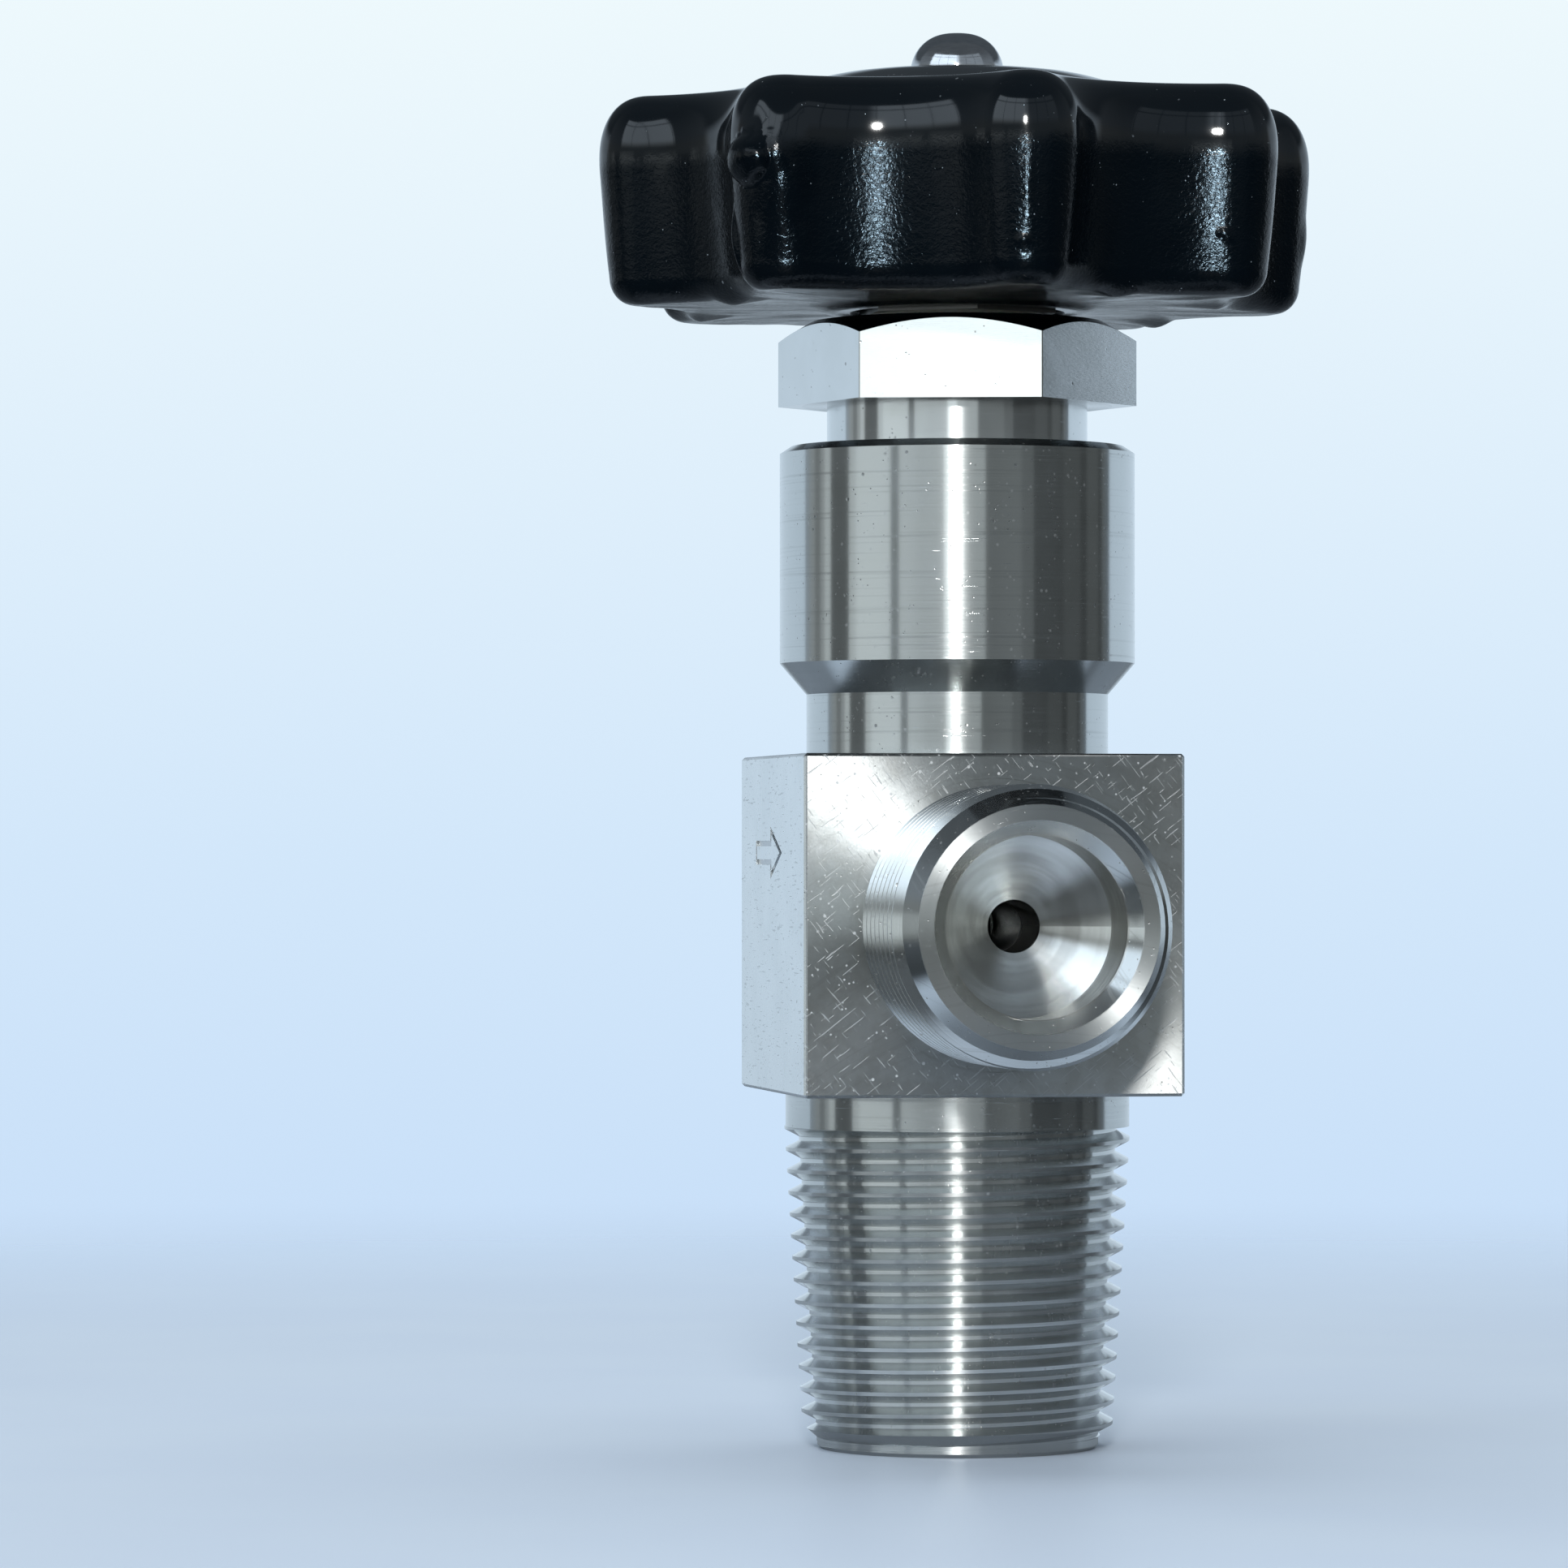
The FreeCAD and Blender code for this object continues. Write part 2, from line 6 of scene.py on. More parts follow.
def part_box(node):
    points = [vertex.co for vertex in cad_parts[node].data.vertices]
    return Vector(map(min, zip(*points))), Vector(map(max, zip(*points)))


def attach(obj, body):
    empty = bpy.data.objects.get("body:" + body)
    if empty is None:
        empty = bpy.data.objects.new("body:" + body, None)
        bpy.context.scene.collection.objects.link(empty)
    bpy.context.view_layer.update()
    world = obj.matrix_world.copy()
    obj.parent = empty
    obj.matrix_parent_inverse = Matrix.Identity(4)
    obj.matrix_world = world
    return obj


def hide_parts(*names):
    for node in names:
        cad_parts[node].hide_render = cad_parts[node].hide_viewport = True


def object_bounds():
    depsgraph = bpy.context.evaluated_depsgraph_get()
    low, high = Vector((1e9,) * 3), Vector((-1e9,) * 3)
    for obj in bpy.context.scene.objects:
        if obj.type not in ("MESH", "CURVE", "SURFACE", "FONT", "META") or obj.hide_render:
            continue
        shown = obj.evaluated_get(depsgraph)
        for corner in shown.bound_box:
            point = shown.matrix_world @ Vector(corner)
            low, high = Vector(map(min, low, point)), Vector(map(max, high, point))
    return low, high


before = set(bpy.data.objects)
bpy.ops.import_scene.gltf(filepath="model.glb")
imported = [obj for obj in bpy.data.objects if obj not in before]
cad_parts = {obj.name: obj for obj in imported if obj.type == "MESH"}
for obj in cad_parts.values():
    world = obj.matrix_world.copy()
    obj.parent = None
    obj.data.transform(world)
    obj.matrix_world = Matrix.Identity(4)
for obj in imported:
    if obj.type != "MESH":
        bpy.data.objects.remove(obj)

CAD_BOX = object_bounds()
MM = 0.001

# ---------------------------------------------------------------------- sizes, in millimetres

# Handwheel outline, as in the CAD: eight lobes with hollows between them.
LOBES = 8
LOBE_R = 5.0
LOBE_CENTRE_R = 25.7
HOLLOW_R = 10.8
WHEEL_TURN = 1.2
WHEEL_LOW = 95.0
WHEEL_HIGH = 112.35
WHEEL_DRAFT = 1.3
TOP_ROUND = 4.5
TOP_ROUND_HEIGHT = 6.4
TOP_ROUND_POWER = 2 / 2.3
BOTTOM_ROUND = 2.3
CROWN_R = 19.0
CROWN_FLAT_R = 9.0
WELL_R = 6.5
WELL_ROUND = 0.8
WELL_DEPTH = 1.6
PAD_R = 11.0
PAD_HOLE_R = 9.0
PAD_ROUND = 0.7

# The coating's skin: its thickness, how its sides bend inwards towards the bottom, and its mesh.
SKIN = 0.9
CRINKLE_TOP = 107.4
SIDE_BEND = 0.0045
SIDE_BEND_Z = 103.0
LOBE_COLUMNS = 26
HOLLOW_COLUMNS = 30
FINE_LOBE = 7
FINE_COLUMNS = 3 * LOBE_COLUMNS
BOTTOM_STEPS = 12
SIDE_STEPS = 40
TOP_STEPS = 22
CROWN_STEPS = 12
WELL_STEPS = 6

# Valve body. The margins let a mask take in a face whose points lie a little off its plane.
OUTLET_Z = 43.7
OUTLET_END = 33.9
RECESS_R = 7.45
PASSAGE_R = 2.12
THREAD_TOP = 26.5
BLOCK_HALF = 15.8
BLOCK_FRONT = 16.2
BLOCK_BACK = 15.0
ARROW_DEPTH = 0.2
HEX_INSIDE_R = 12.95
FRONT_MARGIN = 0.15
SIDE_MARGIN = 0.26
BACK_MARGIN = 0.16

# Camera: on the outlet's side, a little to its left, level and far away.
CAMERA_DISTANCE = 602.0
CAMERA_AZIMUTH = -11.12
CAMERA_HEIGHT = 49.95
CAMERA_LENS = 165.3
AIM_LEFT = 14.48
AIM_HEIGHT = 55.35


# ---------------------------------------------------------------------- shader helpers

class Graph:
    """Adds linked nodes to one node tree."""

    def __init__(self, tree):
        self.tree = tree
        tree.nodes.clear()

    def feed(self, socket, value):
        if isinstance(value, bpy.types.NodeSocket):
            self.tree.links.new(value, socket)
        elif value is not None:
            socket.default_value = value

    def add(self, kind, inputs=None, **settings):
        node = self.tree.nodes.new(kind)
        for key, value in settings.items():
            setattr(node, key, value)
        for key, value in (inputs or {}).items():
            self.feed(node.inputs[key], value)
        return node

    def math(self, operation, first, second=None, third=None):
        inputs = {0: first, 1: second, 2: third}
        return self.add("ShaderNodeMath", inputs, operation=operation).outputs[0]

    def vector(self, operation, first, second=None):
        node = self.add("ShaderNodeVectorMath", {0: first, 1: second}, operation=operation)
        return node.outputs["Value" if operation in ("LENGTH", "DOT_PRODUCT") else "Vector"]

    def split(self, vector):
        return self.add("ShaderNodeSeparateXYZ", {0: vector}).outputs

    def hypot(self, x, y):
        squares = self.math("ADD", self.math("MULTIPLY", x, x), self.math("MULTIPLY", y, y))
        return self.math("SQRT", squares)

    def join(self, x, y, z):
        return self.add("ShaderNodeCombineXYZ", {0: x, 1: y, 2: z}).outputs[0]

    def noise(self, vector, scale, detail=2.0, roughness=0.5, distortion=0.0):
        inputs = {"Vector": vector, "Scale": scale, "Detail": detail, "Roughness": roughness,
                  "Distortion": distortion}
        return self.add("ShaderNodeTexNoise", inputs).outputs[0]

    def cells(self, vector, scale):
        inputs = {"Vector": vector, "Scale": scale}
        return self.add("ShaderNodeTexVoronoi", inputs, feature="F1").outputs[0]

    def range(self, value, low, high, to_low=0.0, to_high=1.0, smooth=True):
        inputs = {"Value": value, "From Min": low, "From Max": high,
                  "To Min": to_low, "To Max": to_high}
        kind = "SMOOTHSTEP" if smooth else "LINEAR"
        return self.add("ShaderNodeMapRange", inputs, interpolation_type=kind).outputs[0]

    def mix(self, factor, first, second):
        inputs = {0: factor, 2: first, 3: second}
        return self.add("ShaderNodeMix", inputs, data_type="FLOAT").outputs[0]

    def mix_vector(self, factor, first, second):
        inputs = {0: factor, 4: first, 5: second}
        return self.add("ShaderNodeMix", inputs, data_type="VECTOR").outputs[1]

    def mix_colour(self, factor, first, second, blend="MIX"):
        inputs = {0: factor, 6: first, 7: second}
        return self.add("ShaderNodeMix", inputs, data_type="RGBA", blend_type=blend).outputs[2]

    def bump(self, height, distance, strength):
        inputs = {"Height": height, "Distance": distance, "Strength": strength}
        return self.add("ShaderNodeBump", inputs).outputs[0]

    def object_point(self):
        return self.add("ShaderNodeTexCoord").outputs["Object"]


def material(name):
    made = bpy.data.materials.new(name)
    made.use_nodes = True
    return made, Graph(made.node_tree)


def surface(g, **inputs):
    """Principled surface with the given inputs; an underscore in a name stands for a space."""
    named = {key.replace("_", " "): value for key, value in inputs.items()}
    shader = g.add("ShaderNodeBsdfPrincipled", named)
    g.add("ShaderNodeOutputMaterial", {"Surface": shader.outputs[0]})


# ---------------------------------------------------------------------- metals

class Turned:
    """Where a point lies about a turning axis, and the marks that the lathe leaves there."""

    def __init__(self, g, point, along_y=False):
        x, y, z = g.split(point)
        if along_y:
            across, along = z, y
        else:
            across, along = y, z
        self.radius = g.hypot(x, across)
        safe = g.math("MAXIMUM", self.radius, 1e-5)
        self.turn_x = g.math("DIVIDE", x, safe)
        self.turn_y = g.math("DIVIDE", across, safe)
        self.travel = g.math("ADD", along, self.radius)
        if along_y:
            around = g.join(across, 0.0, g.math("MULTIPLY", x, -1.0))
        else:
            around = g.join(g.math("MULTIPLY", across, -1.0), x, 0.0)
        world_around = g.add("ShaderNodeVectorTransform", {0: around}, vector_type="VECTOR",
                             convert_from="OBJECT", convert_to="WORLD").outputs[0]
        normal = g.add("ShaderNodeNewGeometry").outputs["Normal"]
        self.tangent = g.vector("CROSS_PRODUCT", world_around, normal)
        self.g = g

    def marks(self, spacing, reach=1.3, detail=2.0):
        """Noise that is long around the axis and changes every `spacing` metres along the profile."""
        along = self.g.math("DIVIDE", self.travel, spacing)
        around_x = self.g.math("MULTIPLY", self.turn_x, reach)
        around_y = self.g.math("MULTIPLY", self.turn_y, reach)
        return self.g.noise(self.g.join(around_x, around_y, along), 1.0, detail)


def lathe_height(g, turned):
    """Fine tool marks with a few deeper rings and broken scratches among them."""
    fine = turned.marks(0.16 * MM, 0.5)
    rings = g.range(turned.marks(0.55 * MM, 0.3), 0.62, 0.74)
    broken = g.range(turned.marks(0.09 * MM, 3.5), 0.72, 0.80)
    height = g.math("MULTIPLY", fine, 0.35)
    height = g.math("MULTIPLY_ADD", rings, -0.35, height)
    return g.math("MULTIPLY_ADD", broken, -0.7, height)


def specks(g, point, size, share):
    """Scattered small spots: 1 in a spot and 0 elsewhere. A larger share leaves fewer spots."""
    cell = g.cells(point, 1.0 / size)
    chosen = g.range(g.noise(point, 0.37 / size, 1.0), 0.5 + share, 0.56 + share)
    return g.math("MULTIPLY", g.range(cell, 0.20, 0.10), chosen)


def hair_scratches(g, point, turn, length, width, share):
    """Short straight scratches along one direction on faces that stand upright."""
    turned = g.add("ShaderNodeVectorRotate", {"Vector": point, "Angle": math.radians(turn)},
                   rotation_type="Y_AXIS").outputs[0]
    x, y, z = g.split(turned)
    stretched = g.join(
        g.math("DIVIDE", x, length), g.math("DIVIDE", y, length), g.math("DIVIDE", z, width))
    return g.range(g.noise(stretched, 1.0, 0.0), share, share + 0.04)


class BodyZones:
    """Masks, each 0 or 1, for the faces of the body that are finished in different ways, and for the
    bore that is darkened as painted shade.
    """

    def __init__(self, g, point):
        x, y, z = g.split(point)
        outlet_point = g.vector("SUBTRACT", point, (0.0, 0.0, OUTLET_Z * MM))
        self.about_stem = Turned(g, point)
        self.about_outlet = Turned(g, outlet_point, along_y=True)
        radius = self.about_outlet.radius
        self.on_outlet = g.math("LESS_THAN", y, -(BLOCK_FRONT - FRONT_MARGIN) * MM)
        self.front = g.math("COMPARE", y, -BLOCK_FRONT * MM, FRONT_MARGIN * MM)
        end_face = g.math("LESS_THAN", y, -(OUTLET_END - 0.05) * MM)
        self.faced = g.math("MAXIMUM", self.front, end_face)
        self.side = g.math("GREATER_THAN", g.math("ABSOLUTE", x), (BLOCK_HALF - SIDE_MARGIN) * MM)
        back = g.math("GREATER_THAN", y, (BLOCK_BACK - BACK_MARGIN) * MM)
        self.ground = g.math("MAXIMUM", self.side, back)
        in_recess = g.math("LESS_THAN", radius, RECESS_R * MM)
        self.recess = g.math("MULTIPLY", self.on_outlet, in_recess)
        # Bore of the gas passage; body_tone darkens it as painted shade.
        in_passage = g.math("LESS_THAN", radius, (PASSAGE_R + 0.03) * MM)
        self.bore_painted_shade = g.math("MULTIPLY", self.recess, in_passage)
        self.thread = g.math("LESS_THAN", z, THREAD_TOP * MM)
        self.engraved = g.math("COMPARE", x, -(BLOCK_HALF - ARROW_DEPTH) * MM, 0.05 * MM)


class BodyMarks:
    """Patterns and damage that the body's height, roughness and tone share."""

    def __init__(self, g, point, zones):
        self.grain = g.noise(point, 1.0 / (0.25 * MM), 3.0, 0.6)
        self.cloud = g.noise(point, 1.0 / (6.0 * MM), 3.0, 0.55, 0.4)
        self.rings = g.range(zones.about_stem.marks(0.30 * MM, 0.4), 0.55, 0.75)
        broad = zones.about_outlet.marks(0.9 * MM, 0.5)
        narrow = zones.about_outlet.marks(0.28 * MM, 0.4)
        self.arcs = g.math("MULTIPLY_ADD", broad, 0.7, g.math("MULTIPLY", narrow, 0.3))
        hair = g.math("MAXIMUM", hair_scratches(g, point, 38, 2.2 * MM, 0.12 * MM, 0.75),
                      hair_scratches(g, point, -52, 1.4 * MM, 0.12 * MM, 0.76))
        self.hair = g.math("MULTIPLY", hair, g.math("MAXIMUM", zones.front, zones.ground))
        pits = g.math("MAXIMUM", specks(g, point, 0.40 * MM, 0.07), specks(g, point, 0.9 * MM, 0.14))
        self.pits = g.math("MULTIPLY", pits, g.mix(zones.recess, 1.0, 0.0))
        lint = g.math("MAXIMUM", specks(g, point, 0.85 * MM, 0.03), specks(g, point, 0.55 * MM, 0.03))
        lint = g.math("MAXIMUM", lint, g.math("MULTIPLY", self.hair, 0.5))
        self.lint = g.math("MULTIPLY", lint, g.mix(zones.recess, g.mix(zones.front, 0.15, 0.8), 0.0))


def body_height(g, zones, marks):
    """Relief: lathe marks, grain on the flat faces, deeper arcs in the recess, scratches and pits."""
    about_stem = lathe_height(g, zones.about_stem)
    lathe = g.mix(zones.on_outlet, about_stem, lathe_height(g, zones.about_outlet))
    grained = g.math("MULTIPLY_ADD", marks.grain, 0.55, g.math("MULTIPLY", lathe, 0.6))
    height = g.mix(zones.front, lathe, grained)
    height = g.math("MULTIPLY_ADD", g.math("MULTIPLY", zones.recess, marks.arcs), 6.0, height)
    height = g.mix(zones.ground, height, g.math("MULTIPLY", marks.grain, 0.6))
    height = g.math("MULTIPLY_ADD", marks.hair, -0.9, height)
    return g.math("MULTIPLY_ADD", marks.pits, -1.2, height)


def body_roughness(g, zones, marks):
    rough = g.range(marks.cloud, 0.3, 0.7, 0.165, 0.185)
    rough = g.math("MULTIPLY_ADD", marks.rings, 0.05, rough)
    rough = g.math("MULTIPLY_ADD", zones.thread, -0.025, rough)
    rough = g.mix(zones.recess, rough, 0.21)
    rough = g.mix(zones.faced, rough, g.range(marks.cloud, 0.3, 0.7, 0.31, 0.35))
    rough = g.mix(zones.ground, rough, g.range(marks.cloud, 0.3, 0.7, 0.24, 0.28))
    rough = g.math("MULTIPLY_ADD", marks.hair, 0.15, g.math("MULTIPLY_ADD", marks.pits, 0.25, rough))
    return g.math("MULTIPLY_ADD", marks.lint, 0.3, rough)


def body_tone(g, point, zones, marks):
    cloud = g.range(marks.cloud, 0.3, 0.7)
    tone = g.mix_colour(cloud, (0.600, 0.620, 0.615, 1), (0.630, 0.650, 0.650, 1))
    tone = g.mix_colour(g.math("MULTIPLY", marks.rings, 0.28), tone, (0.42, 0.43, 0.42, 1))
    tone = g.mix_colour(g.math("MULTIPLY", zones.thread, 0.5), tone, (0.74, 0.75, 0.74, 1))
    arcs = g.range(marks.arcs, 0.40, 0.60)
    turned_tone = g.mix_colour(arcs, (0.56, 0.56, 0.54, 1), (0.76, 0.77, 0.75, 1))
    tone = g.mix_colour(zones.recess, tone, turned_tone)
    # Painted shade: the bore inside the outlet is darkened because it lies out of the light.
    tone = g.mix_colour(zones.bore_painted_shade, tone, (0.10, 0.10, 0.10, 1))
    blotch = g.range(g.noise(point, 1.0 / (2.2 * MM), 4.0, 0.62, 0.3), 0.42, 0.62)
    blotch = g.math("MULTIPLY", g.math("MULTIPLY", zones.front, blotch), 0.30)
    tone = g.mix_colour(blotch, tone, (0.42, 0.42, 0.40, 1))
    # Lighter, bluer tone on the block's sides: partly their ground finish, partly a painted reflection
    # of the pale paper beside them.
    tone = g.mix_colour(zones.side, tone, (0.79, 0.82, 0.83, 1))
    tone = g.mix_colour(zones.engraved, tone, (0.50, 0.52, 0.54, 1))
    tone = g.mix_colour(g.math("MULTIPLY", marks.pits, 0.45), tone, (0.26, 0.25, 0.24, 1))
    return g.mix_colour(marks.lint, tone, (0.9, 0.92, 0.93, 1))


def body_material():
    """Stainless body: turned about two axes, faced about the outlet, with ground sides on the block."""
    made, g = material("body_stainless")
    point = g.object_point()
    zones = BodyZones(g, point)
    marks = BodyMarks(g, point, zones)
    brushed = g.math("MULTIPLY_ADD", zones.thread, 0.10, 0.85)
    brushed = g.math("MULTIPLY_ADD", zones.faced, 0.05, brushed)
    brushed = g.mix(zones.ground, g.mix(zones.recess, brushed, 0.75), 0.1)
    surface(
        g, Base_Color=body_tone(g, point, zones, marks),
        Metallic=g.math("SUBTRACT", 1.0, marks.lint),
        Roughness=body_roughness(g, zones, marks),
        Anisotropic=brushed,
        Tangent=g.mix_vector(zones.on_outlet, zones.about_stem.tangent, zones.about_outlet.tangent),
        Normal=g.bump(body_height(g, zones, marks), 0.010 * MM, 0.5),
    )
    return made


def turned_material(name, bright, dark, rough, anisotropic=0.8):
    """Turned or ground metal about the stem axis, with lathe marks and a slightly cloudy tone."""
    made, g = material(name)
    point = g.object_point()
    turned = Turned(g, point)
    cloud = g.noise(point, 1.0 / (4.0 * MM), 4.0, 0.6, 0.5)
    pits = specks(g, point, 0.5 * MM, 0.09)
    height = g.math("MULTIPLY_ADD", pits, -1.0, lathe_height(g, turned))
    colour = g.mix_colour(g.range(cloud, 0.3, 0.7), (*dark, 1), (*bright, 1))
    roughness = g.range(cloud, 0.3, 0.7, rough * 0.85, rough * 1.2)
    surface(
        g, Base_Color=colour, Metallic=1.0, Roughness=g.math("MULTIPLY_ADD", pits, 0.2, roughness),
        Anisotropic=anisotropic, Tangent=turned.tangent, Normal=g.bump(height, 0.010 * MM, 0.5),
    )
    return made


def nut_material():
    """Gland nut: satin milled flats on the hexagon, a turned shank, and small handling nicks."""
    made, g = material("gland_nut_stainless")
    point = g.object_point()
    turned = Turned(g, point)
    hexagon = g.math("GREATER_THAN", turned.radius, HEX_INSIDE_R * MM)
    milled = g.noise(g.vector("MULTIPLY", point, (1.0, 1.0, 7.0)), 1.0 / (0.6 * MM), 3.0, 0.6)
    cloud = g.noise(point, 1.0 / (5.0 * MM), 3.0, 0.55, 0.4)
    nicks = g.math("MAXIMUM", specks(g, point, 1.0 * MM, 0.16), specks(g, point, 0.4 * MM, 0.11))
    height = g.mix(hexagon, lathe_height(g, turned), g.math("MULTIPLY", milled, 0.5))
    height = g.math("MULTIPLY_ADD", nicks, -1.5, height)
    rough = g.mix(hexagon, 0.17, g.range(cloud, 0.3, 0.7, 0.09, 0.11))
    tone = g.mix_colour(g.range(cloud, 0.3, 0.7), (0.70, 0.72, 0.72, 1), (0.74, 0.76, 0.765, 1))
    surface(
        g, Base_Color=g.mix_colour(g.math("MULTIPLY", nicks, 0.6), tone, (0.22, 0.21, 0.20, 1)),
        Metallic=1.0, Roughness=rough, Anisotropic=0.85, Tangent=turned.tangent,
        Normal=g.bump(height, 0.010 * MM, 0.45),
    )
    return made


def polished_material():
    """Polished cap nut, with faint wiping marks."""
    made, g = material("cap_nut_polished")
    point = g.object_point()
    wipes = g.noise(g.vector("MULTIPLY", point, (1.0, 1.0, 5.0)), 1.0 / (0.9 * MM), 3.0, 0.6)
    dust = specks(g, point, 0.3 * MM, 0.10)
    height = g.math("ADD", dust, g.math("MULTIPLY", wipes, 0.2))
    colour = g.mix_colour(g.range(wipes, 0.3, 0.7), (0.60, 0.61, 0.63, 1), (0.68, 0.69, 0.71, 1))
    surface(
        g, Base_Color=colour, Metallic=1.0, Roughness=g.range(wipes, 0.35, 0.7, 0.06, 0.13),
        Normal=g.bump(height, 0.004 * MM, 0.4),
    )
    return made


def cast_material():
    """As-cast alloy of the wheel's core."""
    made, g = material("cast_core")
    point = g.object_point()
    grain = g.noise(point, 1.0 / (0.5 * MM), 4.0, 0.65)
    flow = g.noise(point, 1.0 / (6.0 * MM), 3.0, 0.5, 1.0)
    colour = g.mix_colour(g.range(flow, 0.3, 0.7), (0.33, 0.33, 0.34, 1), (0.46, 0.46, 0.46, 1))
    surface(g, Base_Color=colour, Metallic=1.0, Roughness=g.range(grain, 0.3, 0.7, 0.42, 0.6),
            Normal=g.bump(grain, 0.03 * MM, 0.6))
    return made


# ---------------------------------------------------------------------- plastics and rubber

def coating_material():
    """Black dipped PVC: glossy on the rounded top, finely crinkled on the sides, with a little dust."""
    made, g = material("dipped_pvc")
    point = g.object_point()
    height = g.split(point)[2]
    peel = g.noise(point, 1.0 / (2.6 * MM), 1.0, 0.4)
    fine = g.noise(g.vector("MULTIPLY", point, (1.0, 1.0, 1.15)), 1.0 / (0.40 * MM), 2.0, 0.6, 0.8)
    coarse = g.noise(g.vector("MULTIPLY", point, (1.0, 1.0, 1.3)), 1.0 / (1.0 * MM), 2.0, 0.6, 0.6)
    crinkle = g.math("MULTIPLY_ADD", coarse, 0.7, fine)
    patch = g.noise(point, 1.0 / (9.0 * MM), 3.0, 0.55, 0.7)
    below_top = g.range(height, CRINKLE_TOP * MM, (CRINKLE_TOP - 1.6) * MM)
    on_side = g.math("MULTIPLY", below_top, g.range(patch, 0.30, 0.50, 0.80, 1.0))
    dust = g.math("MAXIMUM", specks(g, point, 0.40 * MM, 0.17), specks(g, point, 0.9 * MM, 0.20))
    shade = g.range(patch, 0.3, 0.7)
    black = g.mix_colour(shade, (0.0008, 0.0020, 0.0032, 1), (0.0014, 0.0028, 0.0042, 1))
    relief = g.math("MULTIPLY", crinkle, on_side)
    relief = g.math("MULTIPLY_ADD", relief, 2.8, g.math("MULTIPLY", peel, 0.8))
    relief = g.math("ADD", dust, relief)
    gloss = g.range(patch, 0.35, 0.7, 0.06, 0.10)
    surface(
        g, Base_Color=g.mix_colour(g.math("MULTIPLY", dust, 0.5), black, (0.42, 0.43, 0.45, 1)),
        Roughness=g.math("MULTIPLY_ADD", on_side, 0.09, gloss),
        Specular_IOR_Level=g.math("MULTIPLY_ADD", on_side, -0.36, 0.5),
        IOR=1.54,
        Normal=g.bump(relief, 0.016 * MM, 0.9),
    )
    return made


def plastic_material(name, light, dark, rough, translucent):
    """Machined polymer ring: faint turning marks under a waxy tone."""
    made, g = material(name)
    point = g.object_point()
    turned = Turned(g, point)
    cloud = g.noise(point, 1.0 / (2.5 * MM), 3.0, 0.6)
    colour = g.mix_colour(g.range(cloud, 0.3, 0.7), (*dark, 1), (*light, 1))
    surface(g, Base_Color=colour, Roughness=g.range(cloud, 0.3, 0.7, rough * 0.85, rough * 1.1),
            Subsurface_Weight=translucent, Subsurface_Scale=0.5 * MM,
            Normal=g.bump(turned.marks(0.18 * MM, 0.6), 0.010 * MM, 0.5))
    return made


def rubber_material():
    """Black seal rubber with a faint grey bloom."""
    made, g = material("seal_rubber")
    point = g.object_point()
    grain = g.noise(point, 1.0 / (0.2 * MM), 3.0, 0.6)
    bloom = g.noise(point, 1.0 / (1.8 * MM), 3.0, 0.6)
    colour = g.mix_colour(g.range(bloom, 0.4, 0.7), (0.018, 0.018, 0.018, 1), (0.035, 0.034, 0.033, 1))
    surface(g, Base_Color=colour, Roughness=g.range(bloom, 0.3, 0.7, 0.45, 0.62),
            Normal=g.bump(grain, 0.008 * MM, 0.5))
    return made


# ---------------------------------------------------------------------- handwheel coating

def polar(radius, angle):
    return Vector((radius * math.cos(angle), radius * math.sin(angle)))


def wheel_columns():
    """Points and outward normals round the wheel's widest outline."""
    reach = LOBE_R + HOLLOW_R
    half = math.pi / LOBES
    lobe_aside = LOBE_CENTRE_R * math.sin(half)
    hollow_centre_r = LOBE_CENTRE_R * math.cos(half) + math.sqrt(reach ** 2 - lobe_aside ** 2)
    lean = math.acos((hollow_centre_r * math.cos(half) - LOBE_CENTRE_R) / reach)
    columns = []
    for k in range(LOBES):
        middle = 2 * half * k + math.radians(WHEEL_TURN - 90)
        lobe = polar(LOBE_CENTRE_R, middle)
        count = FINE_COLUMNS if k == FINE_LOBE else LOBE_COLUMNS
        for i in range(count):
            normal = polar(1.0, middle + lean * (2 * i / count - 1))
            columns.append((lobe + normal * LOBE_R, normal))
        hollow_middle = middle + half
        hollow = polar(hollow_centre_r, hollow_middle)
        spread = lean - half
        for i in range(HOLLOW_COLUMNS):
            normal = polar(1.0, hollow_middle + spread * (1 - 2 * i / HOLLOW_COLUMNS))
            columns.append((hollow - normal * HOLLOW_R, normal))
    return columns


DRAFT = WHEEL_DRAFT / (WHEEL_HIGH - WHEEL_LOW)
SIDE_LEAN = math.atan(DRAFT)
BOTTOM_Z = WHEEL_LOW + BOTTOM_ROUND
BOTTOM_INSET = (WHEEL_HIGH - BOTTOM_Z) * DRAFT + BOTTOM_ROUND / math.cos(SIDE_LEAN)
TOP_START = WHEEL_HIGH - TOP_ROUND_HEIGHT


def underside_rows():
    """The hub pad, the flat underside and the bottom rounding."""
    pad = ((PAD_HOLE_R, 94.72), (PAD_R - 0.6, 94.70), (PAD_R, 94.76), (PAD_R + PAD_ROUND, 94.95))
    rows = [("circle", radius, height) for radius, height in pad]
    rows += [("between_low", share, WHEEL_LOW) for share in (0.25, 0.5, 0.75)]
    for i in range(BOTTOM_STEPS + 1):
        share = i / BOTTOM_STEPS
        angle = math.pi / 2 * (1 - share) + SIDE_LEAN * share
        inset = BOTTOM_INSET - BOTTOM_ROUND * math.cos(angle)
        rows.append(("inset", inset, BOTTOM_Z - BOTTOM_ROUND * math.sin(angle)))
    return rows


